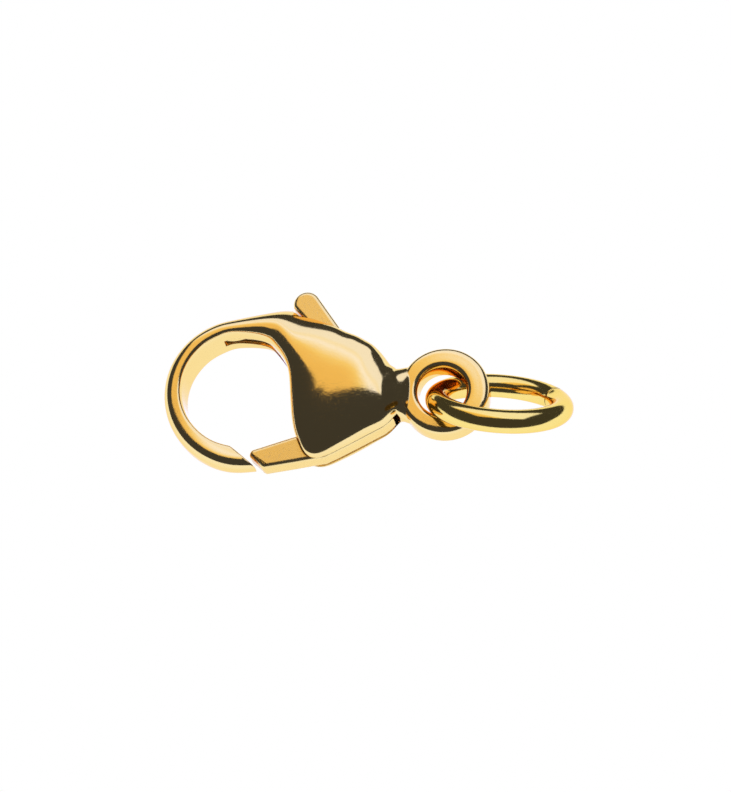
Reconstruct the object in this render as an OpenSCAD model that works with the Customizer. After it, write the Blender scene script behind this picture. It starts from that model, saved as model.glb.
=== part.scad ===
// Lobster clasp with its jump ring, lying on a table. Units are millimetres.
// The clasp is drawn about its own middle plane, with the centre of the hook's bow at the origin, the eye at +X and the
// thumb tab at +Y. The module lying() then turns it to the way it rests and puts it on the table.

/* [Hook] */
// Inside radius of the hook's bow
mouth_r = 2.33; // [2.2:0.01:2.5]
// Width of the band, from its inner to its outer face
band_w = 0.76; // [0.7:0.01:0.9]
// Depth of the band where it leaves the body
root_depth = 2.1; // [1.8:0.05:2.3]
// Depth of the band at its tip
tip_depth = 1.1; // [0.9:0.05:1.4]
// Angle round the bow, past straight down, that the inner edge of the tip stops short of
tip_angle = 7; // [4:1:10]
// Angle by which the oblique cut carries the outer edge of the tip past the inner one
tip_cut = 21; // [18:1:23]

/* [Body] */
// From the centre of the bow to the flank that closes the mouth
flank_x = 2.13; // [2:0.01:2.3]
// From the flank to the narrowest place of the neck
body_len = 4.22; // [4.1:0.02:4.6]
// Depth of the lower corner under the clasp's axis
corner_drop = 2.88; // [2.8:0.01:2.96]
// Thickness of the body at the top of its domes
body_depth = 3.16; // [2.9:0.02:3.3]
// Height of the neck, seen from the front
neck_w = 2.08; // [1.9:0.02:2.2]

/* [Eye] */
// Outside diameter of the eye
eye_d = 3.62; // [3.5:0.02:3.9]
// Diameter of the hole through the eye at its throat
eye_hole_d = 1.98; // [1.96:0.01:2.2]
// Thickness of the eye
eye_depth = 1.26; // [1.1:0.02:1.3]
// From the narrowest place of the neck to the centre of the eye
eye_reach = 1.92; // [1.86:0.02:2.1]
// How far the hole lies off the eye's centre, towards the neck
hole_shift = 0.08; // [0:0.02:0.14]
// Radius on the edges of the eye
eye_round = 0.24; // [0.16:0.02:0.28]

/* [Lever] */
// Thickness of the lever
lever_depth = 1; // [0.8:0.02:1.1]
// Length of the nose's end, along the cut of the hook's tip
nose_end = 1.03; // [0.94:0.01:1.1]
// How far the end of the nose stands in front of the flank
nose_reach = 1.58; // [1.5:0.02:1.62]
// Width of the thumb tab
tab_w = 1.08; // [0.96:0.02:1.2]
// How far the thumb tab stands above the outside of the hook
tab_rise = 1.18; // [1:0.02:1.4]
// How far the lever opens, in degrees
open_angle = 25; // [15:1:26]

/* [Rivet] */
// Diameter of the rivet pin
pin_d = 0.9; // [0.7:0.02:1]

/* [Jump ring] */
// Outside diameter of the jump ring
ring_d = 5.95; // [5.93:0.01:6.1]
// Thickness of its wire
wire_d = 0.95; // [0.85:0.01:0.97]
// Lean of the ring, from lying flat beside the clasp
ring_lean = 55; // [54:1:57]
// Width of the sawn joint between the ends of its wire
joint_gap = 0.03; // [0.02:0.01:0.1]

/* [Fits] */
// Play between the lever and each wall of its slot
slot_play = 0.05; // [0.03:0.01:0.1]
// Play between the rivet pin and the lever's hole, on the radius
pin_play = 0.03; // [0.02:0.01:0.06]
// Play round the edges of the lever inside the body
swing_play = 0.1; // [0.08:0.01:0.16]
// Gap between the closed nose and the cut of the hook's tip
nose_gap = 0.16; // [0.12:0.01:0.2]

/* [Hidden] */
$fn = 96;

outer_r = mouth_r + band_w;
neck_x = flank_x + body_len;
eye_x = neck_x + eye_reach;
hole_x = eye_x - hole_shift;
pivot = [flank_x + 0.656 * body_len, -0.2];

function turned(p, a) = [p.x * cos(a) - p.y * sin(a), p.x * sin(a) + p.y * cos(a)];
function swung(p, a) = pivot + turned(p - pivot, -a);
function polar(r, a) = [r * cos(a), r * sin(a)];
function mix(a, b, t) = a + (b - a) * t;
function arc(c, r, a0, a1, steps) = [for (i = [0 : steps]) c + polar(r, mix(a0, a1, i / steps))];
function along(share) = flank_x + share * body_len;

// A section of the casting runs from its inner edge over the crest to its outer edge. Its columns are inner x and y,
// crest x and y, outer x and y, half depth at the crest, then how flat, how crisp and how crowned it is towards its
// inner edge, and the same three towards its outer edge. The hook's sections go round the bow from the tip (s = 0) to
// the body (s = 1).
CREST_SHARE = 0.3;
TIP_FLARE = 0.2;
ROOT_FLARE = 0.14;
ROOT_ANGLE = 96;
HOOK_STEPS = 12;
function eased(s) = s * s * (3 - 2 * s);
function hook_row(s) =
    let (a = mix(270 - tip_angle, ROOT_ANGLE, s), b = a + tip_cut * pow(1 - s, 2))
    let (inner = polar(mouth_r, a), outer = polar(outer_r + TIP_FLARE * pow(1 - s, 3) + ROOT_FLARE * pow(s, 3), b))
    concat(inner, mix(inner, outer, CREST_SHARE), outer,
        [mix(root_depth, tip_depth, pow(1 - s, 2.5)) / 2, 4, 8, 0, mix(4, 2.1, eased(s)), mix(3, 1.15, eased(s)), 0]);

// The body's sections, in the same columns. Every x is a share of the body's length, from the flank. Inner y is a share
// of the mouth's radius above the axis and of the corner's drop below it. Crest and outer y are shares of the outside
// radius of the hook, and the half depth is a share of half the body's depth.
BODY_SHARES = [
    [-0.313, 0.94, -0.275, 0.872, -0.268, 1.147, 0.665, 3.4, 5, 0.02, 2.1, 1.05, 0],
    [-0.192, 0.79, -0.12, 0.79, -0.066, 1.168, 0.704, 4.5, 6, 0.08, 2.1, 1.1, 0],
    [-0.101, 0.58, -0.01, 0.61, 0.11, 1.088, 0.773, 7, 8, 0.13, 2, 1.55, 0],
    [-0.035, 0.32, 0.1, 0.44, 0.27, 0.968, 0.843, 10, 10, 0.17, 2.2, 2.8, 0],
    [-0.01, 0.02, 0.2, 0.31, 0.4, 0.88, 0.904, 10, 10, 0.21, 2.2, 4, 0],
    [0.01, -0.28, 0.29, 0.23, 0.5, 0.802, 0.95, 10, 10, 0.25, 2.2, 4.6, 0],
    [0.04, -0.56, 0.38, 0.21, 0.6, 0.74, 0.98, 10, 10, 0.31, 2.2, 5, 0],
    [0.09, -0.78, 0.46, 0.2, 0.67, 0.69, 0.993, 10, 10, 0.38, 2.2, 5, 0],
    [0.16, -0.94, 0.54, 0.17, 0.73, 0.64, 1, 10, 10, 0.4, 2.2, 5, 0],
    [0.29, -0.99, 0.62, 0.11, 0.78, 0.596, 0.995, 9, 9, 0.39, 2.2, 4.8, 0],
    [0.455, -0.89, 0.68, 0.03, 0.82, 0.548, 0.975, 8, 8, 0.34, 2.2, 4.4, 0],
    [0.63, -0.75, 0.75, -0.02, 0.86, 0.495, 0.937, 7, 7, 0.28, 2.1, 3.8, 0],
    [0.775, -0.63, 0.82, -0.02, 0.9, 0.432, 0.886, 6, 6, 0.25, 2, 3.1, 0],
    [0.885, -0.54, 0.885, -0.02, 0.935, 0.381, 0.82, 5, 6, 0.24, 2, 2.4, 0],
    [0.955, -0.458, 0.95, 0, 0.975, 0.346, 0.715, 4, 5, 0.2, 2, 2.4, 0]
];
function body_row(row) = [along(row[0]), row[1] * (row[1] > 0 ? mouth_r : corner_drop), along(row[2]),
    row[3] * outer_r, along(row[4]), row[5] * outer_r, row[6] * body_depth / 2, each [for (i = [7 : 12]) row[i]]];

// The neck's sections: inner and outer x as shares of the eye's reach, from the neck's narrowest place, inner and outer
// y as shares of half the neck's height, and half depth as a share of half the eye's thickness
NECK_SHARES = [
    [0.05, 0, -1.04, 1, 1.49],
    [0.2, 0.2, -1.08, 1.087, 1.19],
    [0.36, 0.36, -1.2, 1.15, 0.8]
];
function neck_row(row) = [neck_x + row[0] * eye_reach, row[2] * neck_w / 2, neck_x + row[0] * eye_reach, 0,
    neck_x + row[1] * eye_reach, row[3] * neck_w / 2, row[4] * eye_depth / 2, 3, 3, 0.1, 2.2, 2.2, 0];

// Smooth curve through the rows, with STEPS sections from each row to the next
STEPS = 3;
function through(p, q, r, s, t) =
    0.5 * (2 * q + (r - p) * t + (2 * p - 5 * q + 4 * r - s) * pow(t, 2) + (3 * q - p - 3 * r + s) * pow(t, 3));
function smoothed(rows) =
    let (last = len(rows) - 1)
    concat([for (i = [0 : last - 1], j = [0 : STEPS - 1])
        through(rows[max(i - 1, 0)], rows[i], rows[i + 1], rows[min(i + 2, last)], j / STEPS)], [rows[last]]);

SIDES = 28;
function section_point(row, a) =
    let (in = cos(a) < 0, side = in ? [row[0], row[1]] : [row[4], row[5]], form = in ? 7 : 10)
    let (share = pow(abs(cos(a)), 0.7))
    let (rise = pow(max(0, 1 - pow(share, row[form])), 1 / row[form + 1]) * (1 - row[form + 2] * pow(share, 2)))
    concat(mix([row[2], row[3]], side, share), [sign(sin(a)) * row[6] * rise]);
function section(row) = [for (i = [0 : SIDES - 1]) section_point(row, 360 * i / SIDES)];

// Hook, body and neck as one loft through the sections
module casting() {
    rows = smoothed(concat([for (i = [0 : HOOK_STEPS - 1]) hook_row(i / (HOOK_STEPS - 1))],
        [for (row = BODY_SHARES) body_row(row)], [for (row = NECK_SHARES) neck_row(row)]));
    count = len(rows);
    side_faces = [for (i = [0 : count - 2], j = [0 : SIDES - 1])
        let (a = i * SIDES + j, b = i * SIDES + (j + 1) % SIDES)
        each [[a, b + SIDES, b], [a, a + SIDES, b + SIDES]]];
    start_cap = [for (j = [0 : SIDES - 1]) j];
    end_cap = [for (j = [SIDES - 1 : -1 : 0]) (count - 1) * SIDES + j];
    polyhedron([for (row = rows) each section(row)], concat(side_faces, [start_cap, end_cap]));
}

// The nose stops short of the hook's tip, with its end along the tip's oblique cut
NOSE_ROUND = 0.22;
TOE_ROUND = 0.3;
tip_inner = polar(mouth_r, 270 - tip_angle);
tip_outer = polar(outer_r + TIP_FLARE, 270 - tip_angle + tip_cut);
cut_along = (tip_outer - tip_inner) / norm(tip_outer - tip_inner);
cut_out = turned(cut_along, 90);
nose_start = (flank_x - nose_reach + NOSE_ROUND - tip_inner.x - (NOSE_ROUND + nose_gap) * cut_out.x) / cut_along.x;
nose_tip = tip_inner + nose_start * cut_along + (NOSE_ROUND + nose_gap) * cut_out;
nose_toe = tip_inner + (nose_start + nose_end - NOSE_ROUND - TOE_ROUND) * cut_along + (TOE_ROUND + nose_gap) * cut_out;

// The lever's outline: along its bottom from the nose to the heel, up past the pivot to the thumb tab, and back down
HEEL_R = 1.42;
BACK_R = 1.15;
SHOULDER_R = 0.95;
TAB_LEAN = -56;
TAB_FOOT = 195;
nose_back = [along(0.03), -0.675 * corner_drop];
tab_top = [along(0.095), outer_r + tab_rise - tab_w / 2];
tab_foot = [along(0.08), outer_r];
stem = [along(0.15), 0.56 * outer_r];
armpit = [along(0.38), -0.2 * mouth_r];
elbow = [along(0.3), -0.56 * corner_drop];
BELLY_SHARES = [[0.05, 1.052], [0.245, 0.997], [0.34, 0.975], [0.43, 0.91], [0.53, 0.83], [0.63, 0.75],
    [0.775, 0.63], [0.885, 0.54], [0.95, 0.46], [0.985, 0.4]];
lever_points = concat(
    arc(nose_tip, NOSE_ROUND, 105, 205, 6),
    arc(nose_toe, TOE_ROUND, 215, 262, 5),
    [for (p = BELLY_SHARES) [along(p.x), -p.y * corner_drop]],
    [pivot + polar(HEEL_R, -32), pivot + polar(BACK_R, -8), pivot + polar(SHOULDER_R, 20)],
    arc(tab_top, tab_w / 2, 90 + TAB_LEAN, TAB_FOOT, 10),
    [tab_foot, stem, armpit, elbow, nose_back]);

// The slot clears the lever from closed to open. It runs out past the lever's heel, into the root of the eye.
slot_depth = lever_depth + 2 * slot_play;
below = -corner_drop - 1;
nose_open = swung(nose_back, open_angle);
slot_points = [
    [neck_x + 0.17 * eye_reach, below], [neck_x + 0.17 * eye_reach, -0.55 * neck_w], [neck_x, -0.45 * neck_w],
    pivot + polar(HEEL_R + swing_play, -22), pivot + polar(BACK_R + swing_play, 2),
    pivot + polar(SHOULDER_R + swing_play, 20),
    swung(tab_top + polar(1, 180 + TAB_LEAN), open_angle) + [tab_w / 2 + swing_play, 0],
    tab_top + [-tab_w / 2 - swing_play, 1], tab_top + polar(tab_w / 2 + swing_play, TAB_FOOT),
    tab_foot - [swing_play, 0], stem - [swing_play, 0],
    swung(armpit, open_angle) + [-0.25 - swing_play, 0.1], swung(elbow, open_angle) + [-swing_play, swing_play],
    nose_open + [0, swing_play], [nose_open.x, below]
];

// Groove for the spring's end: one shallow cut along the inside of the hook's root, and down behind the flank
GROOVE_SHARE = 0.55;
module spring_groove() {
    linear_extrude(GROOVE_SHARE * lever_depth, center = true) polygon([
        [-0.37 * mouth_r, 0.9 * mouth_r], [-0.33 * mouth_r, 0.995 * mouth_r], [0, 1.035 * mouth_r],
        [0.3 * mouth_r, 1.01 * mouth_r], [0.5 * mouth_r, 0.94 * mouth_r], [1.1 * flank_x, 0.5 * mouth_r],
        [1.1 * flank_x, 0], [0, 0.7 * mouth_r]]);
}

// Disc with rounded edges
module eye_disc() {
    r = eye_d / 2 - eye_round;
    z = eye_depth / 2 - eye_round;
    translate([eye_x, 0, 0]) rotate_extrude() polygon(concat([[0, -eye_depth / 2]],
        arc([r, -z], eye_round, -90, 0, 6), arc([r, z], eye_round, 0, 90, 6), [[0, eye_depth / 2]]));
}

// Hole whose mouths are rounded, to be cut away
module eye_hole() {
    r = eye_hole_d / 2 + eye_round;
    z = eye_depth / 2 - eye_round;
    translate([hole_x, 0, 0]) rotate_extrude() polygon(concat([[0, -eye_depth], [r, -eye_depth]],
        arc([r, -z], eye_round, 270, 180, 6), arc([r, z], eye_round, 180, 90, 6), [[r, eye_depth], [0, eye_depth]]));
}

module pin_hole(d, depth) {
    translate([pivot.x, pivot.y, 0]) cylinder(d = d, h = depth, center = true);
}

// The ring's wire passes down through the eye's hole and under its far side
RING_YAW = 7;
JOINT_ANGLE = 36;
ring_r = (ring_d - wire_d) / 2;
ring_center = [hole_x - 0.21 + ring_r, -0.41, 0.15];

// The clasp lies on the lower edge of the hook's far side and on the lowest place of the ring, which lifts its eye. Its
// weight rolls it over that line by LIE_ROLL, and the pitch is the angle at which both places touch the table.
LIE_ROLL = 5.5;
hook_rest = [-0.87 * outer_r, -0.32 * outer_r, -0.42 * root_depth];
ring_rest = ring_center + [ring_r * cos(ring_lean) * sin(RING_YAW), ring_r * cos(ring_lean) * cos(RING_YAW),
    -ring_r * sin(ring_lean) - wire_d / 2];
reach = ring_rest - hook_rest;
lie_pitch = atan((sin(LIE_ROLL) * reach.y + cos(LIE_ROLL) * reach.z) / reach.x);
up = [-sin(lie_pitch), cos(lie_pitch) * sin(LIE_ROLL), cos(lie_pitch) * cos(LIE_ROLL)];
ring_axis = [sin(ring_lean) * sin(RING_YAW), sin(ring_lean) * cos(RING_YAW), cos(ring_lean)];
lift = ring_r * sqrt(1 - pow(up * ring_axis, 2)) + wire_d / 2 - up * ring_center;
middle = [(ring_center.x + ring_d / 2 - outer_r) / 2, (tab_rise - TIP_FLARE) / 2];
lie_shift = [-middle.x, -middle.y, lift];
module lying() {
    translate(lie_shift) rotate([LIE_ROLL, lie_pitch, 0]) children();
}

module clasp_body() {
    color("gold") lying() difference() {
        union() {
            casting();
            eye_disc();
        }
        linear_extrude(slot_depth, center = true) polygon(slot_points);
        spring_groove();
        eye_hole();
        pin_hole(pin_d, body_depth + 1);
    }
}

module lever() {
    color("goldenrod") lying() difference() {
        linear_extrude(lever_depth, center = true) polygon(lever_points);
        pin_hole(pin_d + 2 * pin_play, lever_depth + 1);
    }
}

module rivet_pin() {
    color("darkgoldenrod") lying() intersection() {
        casting();
        pin_hole(pin_d, body_depth + 1);
    }
}

module jump_ring() {
    gap_angle = joint_gap / ring_r * 180 / PI;
    color("gold") lying() translate(ring_center) rotate([0, 0, -RING_YAW]) rotate([-ring_lean, 0, 0])
        rotate([0, 0, JOINT_ANGLE + gap_angle / 2])
        rotate_extrude(angle = 360 - gap_angle) translate([ring_r, 0]) circle(d = wire_d);
}

clasp_body();
lever();
rivet_pin();
jump_ring();
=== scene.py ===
import math

import bmesh
import bpy
import numpy as np
from mathutils import Matrix, Vector


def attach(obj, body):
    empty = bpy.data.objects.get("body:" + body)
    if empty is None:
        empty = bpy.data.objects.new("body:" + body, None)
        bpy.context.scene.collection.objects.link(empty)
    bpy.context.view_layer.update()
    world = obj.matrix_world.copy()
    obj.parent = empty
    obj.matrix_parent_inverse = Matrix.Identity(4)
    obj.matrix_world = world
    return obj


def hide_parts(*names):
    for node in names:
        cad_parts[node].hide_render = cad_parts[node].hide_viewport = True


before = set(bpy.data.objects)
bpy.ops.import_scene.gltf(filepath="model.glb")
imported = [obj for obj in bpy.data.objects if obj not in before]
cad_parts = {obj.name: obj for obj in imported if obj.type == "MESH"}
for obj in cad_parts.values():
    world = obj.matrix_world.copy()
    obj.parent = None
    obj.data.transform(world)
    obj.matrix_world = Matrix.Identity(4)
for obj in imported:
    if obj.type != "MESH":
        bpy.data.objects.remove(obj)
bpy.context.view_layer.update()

# How the clasp lies. Every piece is drawn flat and in millimetres, about the middle of the hook's bow, with
# the eye at +X and the thumb tab at +Y. LAID rolls it, pitches it up by the ring under its eye, and sets it
# on the table.
MM = 0.001
ROLL, PITCH = 5.5, -5.531
SET_DOWN = (-5.1825, -0.49, 1.2434)


def turned(angle, axis):
    return Matrix.Rotation(math.radians(angle), 4, axis)


LAID = Matrix.Translation(SET_DOWN) @ turned(PITCH, "Y") @ turned(ROLL, "X")

# The camera looks down on the clasp's front, a little from below it and from its right, from about 14 cm
# away. FOCAL_PX is its focal length in pixels of the photograph, which is PHOTO_W of them wide.
AIM = (5.05, -0.05, 0)
LEAN, SIDESTEP, STAND_OFF = 19.45, 8.05, 136.5
FOCAL_PX, PHOTO_W = 3400, 731
eye_point = (LAID @ Matrix.Translation(AIM) @ turned(LEAN, "X") @ turned(SIDESTEP, "Y")
             @ Matrix.Translation((0, 0, STAND_OFF)))
eye_point.translation *= MM
lens = bpy.data.cameras.new("camera")
lens.sensor_fit = "HORIZONTAL"
lens.sensor_width = 36
lens.lens = lens.sensor_width * FOCAL_PX / PHOTO_W
lens.clip_start, lens.clip_end = 0.01, 10
camera = bpy.data.objects.new("camera", lens)
camera.matrix_world = eye_point
bpy.context.scene.collection.objects.link(camera)
bpy.context.scene.camera = camera

# The body is one gold casting: hook, domed body, neck and eye. It is cast and filed, milled for the lever
# and for the end of its spring, and polished all over, so its edges are soft.
MOUTH_R, BAND_W = 2.33, 0.76
OUTER_R = MOUTH_R + BAND_W
ROOT_DEPTH, ROOT_ANGLE, ROOT_FLARE = 2.1, 96, 0.14
TIP_DEPTH, TIP_ANGLE, TIP_FLARE, TIP_CUT, TIP_EDGE = 1.1, 7, 0.2, 21, 0.05
FLANK_X, BODY_LEN, CORNER_DROP, BODY_DEPTH = 2.13, 4.22, 2.88, 3.16
NECK_W, NECK_X = 2.08, FLANK_X + BODY_LEN
EYE_D, EYE_DEPTH, EYE_REACH, EYE_ROUND = 3.62, 1.26, 1.92, 0.24
EYE_HOLE_D, HOLE_SHIFT = 1.98, 0.08
EYE_X = NECK_X + EYE_REACH
HOLE_X = EYE_X - HOLE_SHIFT


def polar(r, angle):
    return Vector((r * math.cos(math.radians(angle)), r * math.sin(math.radians(angle))))


def bow(centre, r, start, end, steps):
    return [Vector(centre) + polar(r, start + (end - start) * i / steps) for i in range(steps + 1)]


def between(start, end, share):
    return start + (end - start) * share


def along(share):
    return between(FLANK_X, NECK_X, share)


# Each section of the casting is a row: inner edge x and y, crest x and y, outer edge x and y, half depth,
# then how flat, how crisp and how crowned it is towards its inner edge, and the same three towards its
# outer edge. Along the hook, the outer three go over from the tip's into the root's.
HOOK_SECTIONS, CREST_SHARE = 12, 0.3
HOOK_INNER, TIP_OUTER, ROOT_OUTER = (4, 8, 0), (4, 3, 0), (2.1, 1.15, 0)
sections = []
for k in range(HOOK_SECTIONS):
    s = k / (HOOK_SECTIONS - 1)
    angle = between(270 - TIP_ANGLE, ROOT_ANGLE, s)
    inner = polar(MOUTH_R, angle)
    outer = polar(OUTER_R + TIP_FLARE * (1 - s) ** 3 + ROOT_FLARE * s ** 3, angle + TIP_CUT * (1 - s) ** 2)
    depth = between(ROOT_DEPTH, TIP_DEPTH, (1 - s) ** 2.5)
    eased = s * s * (3 - 2 * s)
    sections.append([*inner, *inner.lerp(outer, CREST_SHARE), *outer, depth / 2, *HOOK_INNER,
                     *(between(tip, root, eased) for tip, root in zip(TIP_OUTER, ROOT_OUTER))])

# The body's rows hold shares: each x of the body's length from its flank, the inner edge's y of the mouth's
# radius or of the corner's drop, the other two of the hook's outer radius, and the half depth of the body's.
BODY_SHARES = [
    (-0.313, 0.94, -0.275, 0.872, -0.268, 1.147, 0.665, 3.4, 5, 0.02, 2.1, 1.05, 0),
    (-0.192, 0.79, -0.12, 0.79, -0.066, 1.168, 0.704, 4.5, 6, 0.08, 2.1, 1.1, 0),
    (-0.101, 0.58, -0.01, 0.61, 0.11, 1.088, 0.773, 7, 8, 0.13, 2, 1.55, 0),
    (-0.035, 0.32, 0.1, 0.44, 0.27, 0.968, 0.843, 10, 10, 0.17, 2.2, 2.8, 0),
    (-0.01, 0.02, 0.2, 0.31, 0.4, 0.88, 0.904, 10, 10, 0.21, 2.2, 4, 0),
    (0.01, -0.28, 0.29, 0.23, 0.5, 0.802, 0.95, 10, 10, 0.25, 2.2, 4.6, 0),
    (0.04, -0.56, 0.38, 0.21, 0.6, 0.74, 0.98, 10, 10, 0.31, 2.2, 5, 0),
    (0.09, -0.78, 0.46, 0.2, 0.67, 0.69, 0.993, 10, 10, 0.38, 2.2, 5, 0),
    (0.16, -0.94, 0.54, 0.17, 0.73, 0.64, 1, 10, 10, 0.4, 2.2, 5, 0),
    (0.29, -0.99, 0.62, 0.11, 0.78, 0.596, 0.995, 9, 9, 0.39, 2.2, 4.8, 0),
    (0.455, -0.89, 0.68, 0.03, 0.82, 0.548, 0.975, 8, 8, 0.34, 2.2, 4.4, 0),
    (0.63, -0.75, 0.75, -0.02, 0.86, 0.495, 0.937, 7, 7, 0.28, 2.1, 3.8, 0),
    (0.775, -0.63, 0.82, -0.02, 0.9, 0.432, 0.886, 6, 6, 0.25, 2, 3.1, 0),
    (0.885, -0.54, 0.885, -0.02, 0.935, 0.381, 0.82, 5, 6, 0.24, 2, 2.4, 0),
    (0.955, -0.458, 0.95, 0, 0.975, 0.346, 0.715, 4, 5, 0.2, 2, 2.4, 0)]
for inner_x, inner_y, crest_x, crest_y, outer_x, outer_y, half, *form in BODY_SHARES:
    sections.append([along(inner_x), inner_y * (MOUTH_R if inner_y > 0 else CORNER_DROP),
                     along(crest_x), crest_y * OUTER_R, along(outer_x), outer_y * OUTER_R,
                     half * BODY_DEPTH / 2, *form])

# The neck's rows run into the eye: x of the lower and of the upper edge as shares of the eye's reach, y of
# both as shares of half the neck's width, and half depth as a share of the eye's.
NECK_SHARES = [(0.05, 0, -1.04, 1, 1.49), (0.2, 0.2, -1.08, 1.087, 1.19), (0.36, 0.36, -1.2, 1.15, 0.8)]
NECK_FORM = (3, 3, 0.1, 2.2, 2.2, 0)
for low_x, high_x, low_y, high_y, half in NECK_SHARES:
    sections.append([NECK_X + low_x * EYE_REACH, low_y * NECK_W / 2, NECK_X + low_x * EYE_REACH, 0,
                     NECK_X + high_x * EYE_REACH, high_y * NECK_W / 2, half * EYE_DEPTH / 2, *NECK_FORM])


def fair(rows, steps):
    """A curve with no kinks through rows of numbers, with that many steps from each row to the next."""
    rows = np.array(rows, float)
    last = len(rows) - 1
    pull = np.eye(last + 1)
    for i in range(1, last):
        pull[i, i - 1:i + 2] = 1, 4, 1
    straight = 0 * rows[:1]
    bends = np.linalg.solve(
        pull, np.vstack([straight, 6 * (rows[2:] - 2 * rows[1:-1] + rows[:-2]), straight]))
    curve = []
    for k in range(last * steps + 1):
        i = min(k // steps, last - 1)
        t = k / steps - i
        curve.append((1 - t) * rows[i] + t * rows[i + 1] + ((1 - t) ** 3 - (1 - t)) / 6 * bends[i]
                     + (t ** 3 - t) / 6 * bends[i + 1])
    return curve


# The points round each section crowd together towards its edges, where the casting bends most. Points that
# lie less than MERGED apart are made one.
AROUND, STEPS, CROWDING, MERGED = 112, 12, 0.7, 1e-5
faired = fair(sections, STEPS)
casting = bmesh.new()
bmesh.ops.create_grid(casting, x_segments=AROUND, y_segments=len(faired) - 1, size=0.5)
for v in casting.verts:
    row = faired[round((v.co.y + 0.5) * (len(faired) - 1))]
    turn = 2 * math.pi * (v.co.x + 0.5)
    across = math.cos(turn)
    side, flat, crisp, crown = (row[0:2], *row[7:10]) if across < 0 else (row[4:6], *row[10:13])
    share = abs(across) ** CROWDING
    x, y = between(row[2:4], side, share)
    height = row[6] * max(0, 1 - share ** flat) ** (1 / crisp) * (1 - crown * share ** 2)
    v.co = x, y, math.copysign(height, math.sin(turn))
bmesh.ops.remove_doubles(casting, verts=casting.verts, dist=MERGED)
ends = bmesh.ops.holes_fill(casting, edges=[e for e in casting.edges if e.is_boundary], sides=0)["faces"]
tip = min(ends, key=lambda f: f.calc_center_median().x)
bmesh.ops.bevel(casting, geom=list(tip.edges), affect="EDGES", offset=TIP_EDGE, segments=3, profile=0.5,
                material=-1)
bmesh.ops.recalc_face_normals(casting, faces=casting.faces)


def settled(bm, name):
    """The object that a finished bmesh makes, just as it was drawn."""
    mesh = bpy.data.meshes.new(name)
    bm.to_mesh(mesh)
    bm.free()
    piece = bpy.data.objects.new(name, mesh)
    bpy.context.scene.collection.objects.link(piece)
    return piece


def lathed(profile, centre):
    """A solid turned round an upright axis, from radii and heights that start and end on the axis."""
    bm = bmesh.new()
    line = [bm.verts.new((centre[0] + r, centre[1], z)) for r, z in profile]
    edges = [bm.edges.new(pair) for pair in zip(line, line[1:])]
    bmesh.ops.spin(bm, geom=line + edges, cent=(*centre, 0), axis=(0, 0, 1), angle=2 * math.pi, steps=128,
                   use_merge=True)
    bmesh.ops.remove_doubles(bm, verts=bm.verts, dist=MERGED)
    bmesh.ops.recalc_face_normals(bm, faces=bm.faces)
    return bm


def plate(outline, depth):
    """A flat plate of that outline, half its depth to each side of the clasp's middle plane."""
    bm = bmesh.new()
    face = bm.faces.new([bm.verts.new((x, y, -depth / 2)) for x, y in outline])
    risen = bmesh.ops.extrude_face_region(bm, geom=[face])["geom"]
    bmesh.ops.translate(bm, verts=[v for v in risen if isinstance(v, bmesh.types.BMVert)], vec=(0, 0, depth))
    bmesh.ops.recalc_face_normals(bm, faces=bm.faces)
    return bm


def worked(piece, tool, operation="DIFFERENCE"):
    """Cuts the tool out of the piece, or joins it on, and throws the tool away."""
    work = piece.modifiers.new("work", "BOOLEAN")
    work.operation, work.solver, work.object = operation, "EXACT", tool
    old = piece.data
    piece.data = bpy.data.meshes.new_from_object(piece.evaluated_get(bpy.context.evaluated_depsgraph_get()))
    piece.data.name = piece.name
    piece.modifiers.clear()
    bpy.data.meshes.remove(old)
    bpy.data.meshes.remove(tool.data)


# The eye's two faces are very slightly domed, from its hole out to its rounded rim, and the mouths of its
# hole are rounded like the rim.
DOME_R, DOME_EDGE, DOME_DROP = 5.5, 84.4, 0.028
rim_r, rim_z = EYE_D / 2 - EYE_ROUND, EYE_DEPTH / 2 - EYE_ROUND
dome = bow((EYE_HOLE_D / 2, EYE_DEPTH / 2 - DOME_R), DOME_R, 90, DOME_EDGE, 4)
rim = [(0, -EYE_DEPTH / 2), *((r, -z) for r, z in dome),
       *bow((rim_r, DOME_DROP - rim_z), EYE_ROUND, -DOME_EDGE, 0, 8),
       *bow((rim_r, rim_z - DOME_DROP), EYE_ROUND, 0, DOME_EDGE, 8), *reversed(dome), (0, EYE_DEPTH / 2)]
throat = EYE_HOLE_D / 2 + EYE_ROUND
bore = [(0, -EYE_DEPTH), (throat, -EYE_DEPTH), *bow((throat, -rim_z), EYE_ROUND, 270, 180, 8),
        *bow((throat, rim_z), EYE_ROUND, 180, 90, 8), (throat, EYE_DEPTH), (0, EYE_DEPTH)]
clasp_body = settled(casting, "casting")
worked(clasp_body, settled(lathed(rim, (EYE_X, 0)), "eye"), "UNION")
worked(clasp_body, settled(lathed(bore, (HOLE_X, 0)), "eye_hole"))

# The slot clears the lever from closed to open, so its outline follows the lever's own corners. The groove
# for the spring's end is a straight cut inside the hook's root.
PIVOT = Vector((along(0.656), -0.2))
HEEL_R, BACK_R, SHOULDER_R = 1.42, 1.15, 0.95
TAB_W, TAB_RISE, TAB_LEAN, TAB_FOOT = 1.08, 1.18, -56, 195
LEVER_DEPTH, SLOT_PLAY, SWING_PLAY, OPEN_ANGLE = 1, 0.05, 0.1, 25
GROOVE_W = 0.55 * LEVER_DEPTH
nose_back = Vector((along(0.03), -0.675 * CORNER_DROP))
tab_top = Vector((along(0.095), OUTER_R + TAB_RISE - TAB_W / 2))
tab_foot = Vector((along(0.08), OUTER_R))
stem = Vector((along(0.15), 0.56 * OUTER_R))
armpit = Vector((along(0.38), -0.2 * MOUTH_R))
elbow = Vector((along(0.3), -0.56 * CORNER_DROP))


def swung(point):
    """Where a point of the lever is when the lever is open."""
    return PIVOT + Matrix.Rotation(math.radians(-OPEN_ANGLE), 2) @ (point - PIVOT)


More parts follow.
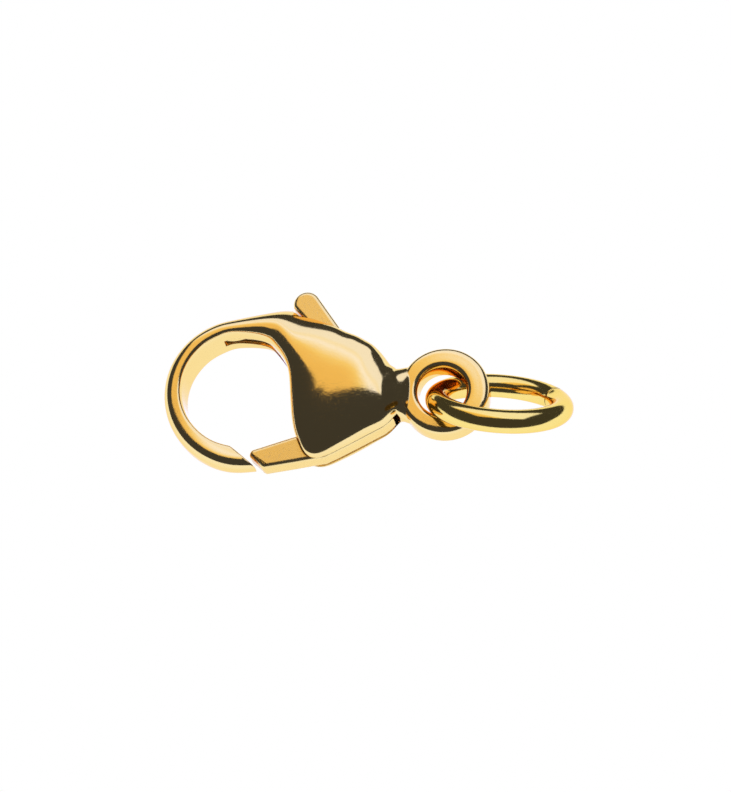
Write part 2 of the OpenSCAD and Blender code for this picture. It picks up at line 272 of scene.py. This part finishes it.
below = -CORNER_DROP - 1
play = Vector((SWING_PLAY, 0))
nose_open = swung(nose_back)
slot_end = NECK_X + 0.17 * EYE_REACH
slot = plate([
    (slot_end, below), (slot_end, -0.55 * NECK_W), (NECK_X, -0.45 * NECK_W),
    PIVOT + polar(HEEL_R + SWING_PLAY, -22), PIVOT + polar(BACK_R + SWING_PLAY, 2),
    PIVOT + polar(SHOULDER_R + SWING_PLAY, 20),
    swung(tab_top + polar(1, 180 + TAB_LEAN)) + Vector((TAB_W / 2 + SWING_PLAY, 0)),
    tab_top + Vector((-TAB_W / 2 - SWING_PLAY, 1)), tab_top + polar(TAB_W / 2 + SWING_PLAY, TAB_FOOT),
    tab_foot - play, stem - play, swung(armpit) + Vector((-0.25 - SWING_PLAY, 0.1)),
    swung(elbow) + Vector((-SWING_PLAY, SWING_PLAY)), nose_open + Vector((0, SWING_PLAY)),
    (nose_open.x, below)], LEVER_DEPTH + 2 * SLOT_PLAY)
worked(clasp_body, settled(slot, "slot"))
groove = plate([
    (-0.37 * MOUTH_R, 0.9 * MOUTH_R), (-0.33 * MOUTH_R, 0.995 * MOUTH_R), (0, 1.035 * MOUTH_R),
    (0.3 * MOUTH_R, 1.01 * MOUTH_R), (0.5 * MOUTH_R, 0.94 * MOUTH_R), (1.1 * FLANK_X, 0.5 * MOUTH_R),
    (1.1 * FLANK_X, 0), (0, 0.7 * MOUTH_R)], GROOVE_W)
worked(clasp_body, settled(groove, "groove"))

CREASE = 40


def finish_off(piece, material):
    """Coats a piece, shades it smooth up to its creases, and lays it as the clasp lies, in metres."""
    piece.data.materials.append(material)
    piece.data.transform(Matrix.Scale(MM, 4) @ LAID)
    piece.data.shade_smooth()
    piece.data.set_sharp_from_angle(angle=math.radians(CREASE))


class Reading:
    """What a node gives out. Sums with it add Math nodes to its coat."""

    def __init__(self, coat, socket):
        self.coat, self.socket = coat, socket

    def __add__(self, other):
        return self.coat.sum("ADD", self, other)

    def __sub__(self, other):
        return self.coat.sum("SUBTRACT", self, other)

    def __rsub__(self, other):
        return self.coat.sum("SUBTRACT", other, self)

    def __mul__(self, other):
        return self.coat.sum("MULTIPLY", self, other)

    def __truediv__(self, other):
        return self.coat.sum("DIVIDE", self, other)

    __radd__, __rmul__ = __add__, __mul__


class Coat:
    """The nodes of a material, or of the studio's light."""

    def __init__(self, owner):
        owner.use_nodes = True
        self.owner, self.tree = owner, owner.node_tree
        self.tree.nodes.clear()

    def node(self, kind, settings=None, inputs=None):
        """Adds a node and gives its outputs. Settings come before the values or links of its sockets."""
        made = self.tree.nodes.new(kind)
        for name, value in (settings or {}).items():
            if name == "stops":
                ramp = made.color_ramp.elements
                while len(ramp) < len(value):
                    ramp.new(1)
                for stop, (place, colour) in zip(ramp, value):
                    stop.position, stop.color = place, (*colour, 1)
            else:
                setattr(made, name, value)
        for name, value in (inputs or {}).items():
            if isinstance(value, Reading):
                self.tree.links.new(value.socket, made.inputs[name])
            else:
                made.inputs[name].default_value = value
        return [Reading(self, s) for s in made.outputs]

    def sum(self, operation, *values):
        return self.node("ShaderNodeMath", {"operation": operation}, dict(enumerate(values)))[0]

    def rises(self, value, start, end):
        """0 below start, 1 above end, and smooth between them."""
        return self.node("ShaderNodeMapRange", {"interpolation_type": "SMOOTHSTEP"},
                         {"Value": value, "From Min": start, "From Max": end})[0]

    def blended(self, share, under, over):
        return self.node("ShaderNodeMix", {"data_type": "RGBA"}, {0: share, 6: under, 7: over})[2]


# Polished yellow gold, as the buffing wheel leaves it: a mirror with a faint, cloudy haze, a fine grain,
# scuffs and softened edges. Each of its three patterns has a scale, in waves to the metre, and a detail.
GOLD, DULLED, EDGE_TINT = (0.98, 0.62, 0.19), (0.96, 0.9, 0.78), (1, 0.8, 0.5, 1)
CLOUDS, GRAIN, SCUFFS = (420, 3), (9000, 2), (16000, 1)
HAZE_LEAST, HAZE_SPREAD, SCUFF_HAZE, SCUFFED = 0.7, 0.6, 0.11, (0.58, 0.72)
GRAIN_SHARE, GRAIN_DEPTH, BUFFED_R = 0.3, 0.004, 0.05


def polished(name, colour, haze):
    coat = Coat(bpy.data.materials.new(name))
    place = coat.node("ShaderNodeTexCoord")[3]
    clouds, grain, scuffs = (
        coat.node("ShaderNodeTexNoise", inputs={"Vector": place, "Scale": scale, "Detail": detail})[0]
        for scale, detail in (CLOUDS, GRAIN, SCUFFS))
    dull = [c * share for c, share in zip(colour, DULLED)]
    tint = coat.blended(clouds, (*colour, 1), (*dull, 1))
    soft = coat.node("ShaderNodeBevel", {"samples": 6}, {"Radius": BUFFED_R * MM})[0]
    bump = coat.node("ShaderNodeBump", inputs={"Strength": GRAIN_SHARE, "Distance": GRAIN_DEPTH * MM,
                                               "Height": grain, "Normal": soft})[0]
    roughness = haze * (HAZE_LEAST + HAZE_SPREAD * clouds) + SCUFF_HAZE * coat.rises(scuffs, *SCUFFED)
    gold = coat.node("ShaderNodeBsdfPrincipled", inputs={"Base Color": tint, "Metallic": 1,
                                                         "Roughness": roughness, "Specular Tint": EDGE_TINT,
                                                         "Normal": bump})[0]
    coat.node("ShaderNodeOutputMaterial", inputs={"Surface": gold})
    return coat.owner


finish_off(clasp_body, polished("polished_casting", GOLD, haze=0.095))
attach(clasp_body, "clasp")
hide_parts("clasp_body")

# The rivet pin is a plain piece of gold wire, pressed through both cheeks of the body. Its ends are dressed
# flush and buffed over, so a thin skin of burnished metal covers them and nothing of the pin shows from
# outside.
PIN_D, PIN_LEN, PIN_EDGE = 0.9, 2.6, 0.04


def rims(bm):
    """The edges round the top and round the bottom of a piece drawn about the middle plane."""
    return [e for e in bm.edges if e.verts[0].co.z * e.verts[1].co.z > 0]


pin = bmesh.new()
bmesh.ops.create_cone(pin, cap_ends=True, segments=64, radius1=PIN_D / 2, radius2=PIN_D / 2, depth=PIN_LEN)
bmesh.ops.bevel(pin, geom=rims(pin), affect="EDGES", offset=PIN_EDGE, segments=2, profile=0.5, material=-1)
bmesh.ops.translate(pin, verts=pin.verts, vec=(*PIVOT, 0))
rivet = settled(pin, "rivet")
finish_off(rivet, polished("drawn_pin", GOLD, haze=0.2))
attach(rivet, "clasp")
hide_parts("rivet_pin")

# The lever is stamped from plate, drilled for the pin and tumbled, which rounds its edges. Its nose closes
# the mouth against the hook's tip, and the thumb tab stands out at the top.
NOSE_REACH, NOSE_END, NOSE_GAP, NOSE_ROUND, TOE_ROUND = 1.58, 1.03, 0.16, 0.22, 0.3
TUMBLED_R, FACE_INSET, PIN_PLAY = 0.15, 0.01, 0.03
BELLY_SHARES = [(0.05, 1.052), (0.245, 0.997), (0.34, 0.975), (0.43, 0.91), (0.53, 0.83), (0.63, 0.75),
                (0.775, 0.63), (0.885, 0.54), (0.95, 0.46), (0.985, 0.4)]
tip_inner = polar(MOUTH_R, 270 - TIP_ANGLE)
cut_along = (polar(OUTER_R + TIP_FLARE, 270 - TIP_ANGLE + TIP_CUT) - tip_inner).normalized()
cut_out = Vector((-cut_along.y, cut_along.x))
stand = NOSE_ROUND + NOSE_GAP
nose_start = (FLANK_X - NOSE_REACH + NOSE_ROUND - tip_inner.x - stand * cut_out.x) / cut_along.x
nose_tip = tip_inner + nose_start * cut_along + stand * cut_out
nose_toe = (tip_inner + (nose_start + NOSE_END - NOSE_ROUND - TOE_ROUND) * cut_along
            + (TOE_ROUND + NOSE_GAP) * cut_out)
stamping = plate([
    *bow(nose_tip, NOSE_ROUND, 105, 205, 10), *bow(nose_toe, TOE_ROUND, 215, 262, 8),
    *((along(x), -y * CORNER_DROP) for x, y in BELLY_SHARES),
    PIVOT + polar(HEEL_R, -32), PIVOT + polar(BACK_R, -8), PIVOT + polar(SHOULDER_R, 20),
    *bow(tab_top, TAB_W / 2, 90 + TAB_LEAN, TAB_FOOT, 20), tab_foot, stem, armpit, elbow, nose_back],
    LEVER_DEPTH)
bmesh.ops.bevel(stamping, geom=rims(stamping), affect="EDGES", offset=TUMBLED_R, segments=5, profile=0.5,
                material=-1, clamp_overlap=False)
bmesh.ops.inset_individual(stamping, faces=[f for f in stamping.faces if len(f.verts) > 4],
                           thickness=FACE_INSET, use_even_offset=True)
lever = settled(stamping, "trigger")
drill_r = PIN_D / 2 + PIN_PLAY
drill = [(0, -LEVER_DEPTH), (drill_r, -LEVER_DEPTH), (drill_r, LEVER_DEPTH), (0, LEVER_DEPTH)]
worked(lever, settled(lathed(drill, PIVOT), "drill"))
finish_off(lever, polished("tumbled_plate", GOLD, haze=0.22))
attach(lever, "lever")
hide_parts("lever")

# The jump ring is drawn wire, wound on a rod, sawn through and butted shut, so a fine seam shows where its
# ends meet. It passes down through the eye's hole and under the eye's far side.
RING_D, WIRE_D, WIRE_GOLD = 5.95, 0.95, (0.99, 0.62, 0.13)
RING_LEAN, RING_YAW, RING_TUCK, RING_DROP, RING_LIFT = 55, 7, 0.21, -0.41, 0.15
JOINT_ANGLE, JOINT_GAP, SAWN_EDGE = 36, 0.03, 0.03
RING_R = (RING_D - WIRE_D) / 2
ring_centre = (HOLE_X - RING_TUCK + RING_R, RING_DROP, RING_LIFT)
gap_angle = JOINT_GAP / RING_R
wire = bmesh.new()
end = bmesh.ops.create_circle(wire, cap_ends=False, radius=WIRE_D / 2, segments=48)["verts"]
bmesh.ops.rotate(wire, verts=end, cent=(0, 0, 0), matrix=turned(90, "X").to_3x3())
bmesh.ops.translate(wire, verts=end, vec=(RING_R, 0, 0))
bmesh.ops.spin(wire, geom=list(wire.verts) + list(wire.edges), cent=(0, 0, 0), axis=(0, 0, 1),
               angle=2 * math.pi - gap_angle, steps=180, use_merge=False)
caps = bmesh.ops.holes_fill(wire, edges=[e for e in wire.edges if e.is_boundary], sides=0)["faces"]
bmesh.ops.bevel(wire, geom=[e for f in caps for e in f.edges], affect="EDGES", offset=SAWN_EDGE, segments=2,
                profile=0.5, material=-1)
bmesh.ops.recalc_face_normals(wire, faces=wire.faces)
threaded = (Matrix.Translation(ring_centre) @ turned(-RING_YAW, "Z") @ turned(-RING_LEAN, "X")
            @ turned(JOINT_ANGLE + math.degrees(gap_angle / 2), "Z"))
bmesh.ops.transform(wire, matrix=threaded, verts=wire.verts)
jump_ring = settled(wire, "ring")
finish_off(jump_ring, polished("drawn_wire", WIRE_GOLD, haze=0.1))
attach(jump_ring, "clasp")
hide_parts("jump_ring")

# The table is white and runs up into a white cove, drawn in metres as one half globe round the clasp. Only
# the camera sees it, because the gold mirrors the studio's light instead.
COVE_R = 0.6
cove = bmesh.new()
bmesh.ops.create_uvsphere(cove, u_segments=64, v_segments=32, radius=COVE_R)
bmesh.ops.bisect_plane(cove, geom=list(cove.verts) + list(cove.edges) + list(cove.faces), plane_co=(0, 0, 0),
                       plane_no=(0, 0, -1), clear_outer=True)
bmesh.ops.holes_fill(cove, edges=[e for e in cove.edges if e.is_boundary], sides=0)
table = settled(cove, "table")
white = Coat(bpy.data.materials.new("white_table"))
glow = white.node("ShaderNodeEmission", inputs={"Color": (1, 1, 1, 1), "Strength": 1})[0]
white.node("ShaderNodeOutputMaterial", inputs={"Surface": glow})
table.data.materials.append(white.owner)
table.visible_glossy = table.visible_diffuse = table.visible_shadow = table.visible_transmission = False

# The studio that the gold mirrors has one tall soft window on the far side, from just past overhead down to
# near the table, with slanted sides and changing hues, a dark room round it, and the lit table below. East
# and north are degrees from straight overhead, to the right and to the far side.
NEAR_EDGE, FAR_EDGE = (3.6, 5.4), (70, 75)
LEFT_EDGE, LEFT_SLANT, RIGHT_EDGE, RIGHT_SLANT = (-26.5, -22.5), 0.45, (33.5, 37.5), 0.11
HUE_SLANT, HUE_START, HUE_SPAN = 0.9, -10, 90
WINDOW_HUES = [(0.1, (0.92, 0.8, 0.5)), (0.185, (0.97, 0.97, 0.75)), (0.285, (1, 1.22, 2.1)),
               (0.355, (1.02, 1.35, 3.1)), (0.45, (0.99, 1.22, 2.1)), (0.54, (0.96, 1.26, 2.7))]
ROOM, TABLE_LIGHT = (0.048, 0.06, 0.108, 1), (0.99, 1.29, 2.25, 1)
TABLE_END, HORIZON, HAIR = 0.36, (-0.02, 0.02), 1e-9
studio = Coat(bpy.data.worlds.new("studio"))
bpy.context.scene.world = studio.owner
ray = studio.node("ShaderNodeTexCoord")[0]
x, y, z = studio.node("ShaderNodeSeparateXYZ", inputs={"Vector": ray})
from_above = studio.sum("ARCCOSINE", z) * (180 / math.pi)
level = studio.sum("SQRT", x * x + y * y + HAIR)
east, north = from_above * x / level, from_above * y / level
in_window = (studio.rises(north, *NEAR_EDGE) * studio.rises(east + LEFT_SLANT * north, *LEFT_EDGE)
             * (1 - studio.rises(east - RIGHT_SLANT * north, *RIGHT_EDGE))
             * (1 - studio.rises(from_above, *FAR_EDGE)))
hue = (north + HUE_SLANT * east - HUE_START) * (1 / HUE_SPAN)
window = studio.node("ShaderNodeValToRGB", {"stops": WINDOW_HUES}, {"Fac": hue})[0]
on_table = studio.rises(-1 * z - TABLE_END * studio.sum("MAXIMUM", y, 0), *HORIZON)
light = studio.blended(on_table, studio.blended(in_window, ROOM, window), TABLE_LIGHT)
sky = studio.node("ShaderNodeBackground", inputs={"Color": light, "Strength": 1})[0]
studio.node("ShaderNodeOutputWorld", inputs={"Surface": sky})
bpy.context.scene.view_settings.view_transform = "Standard"
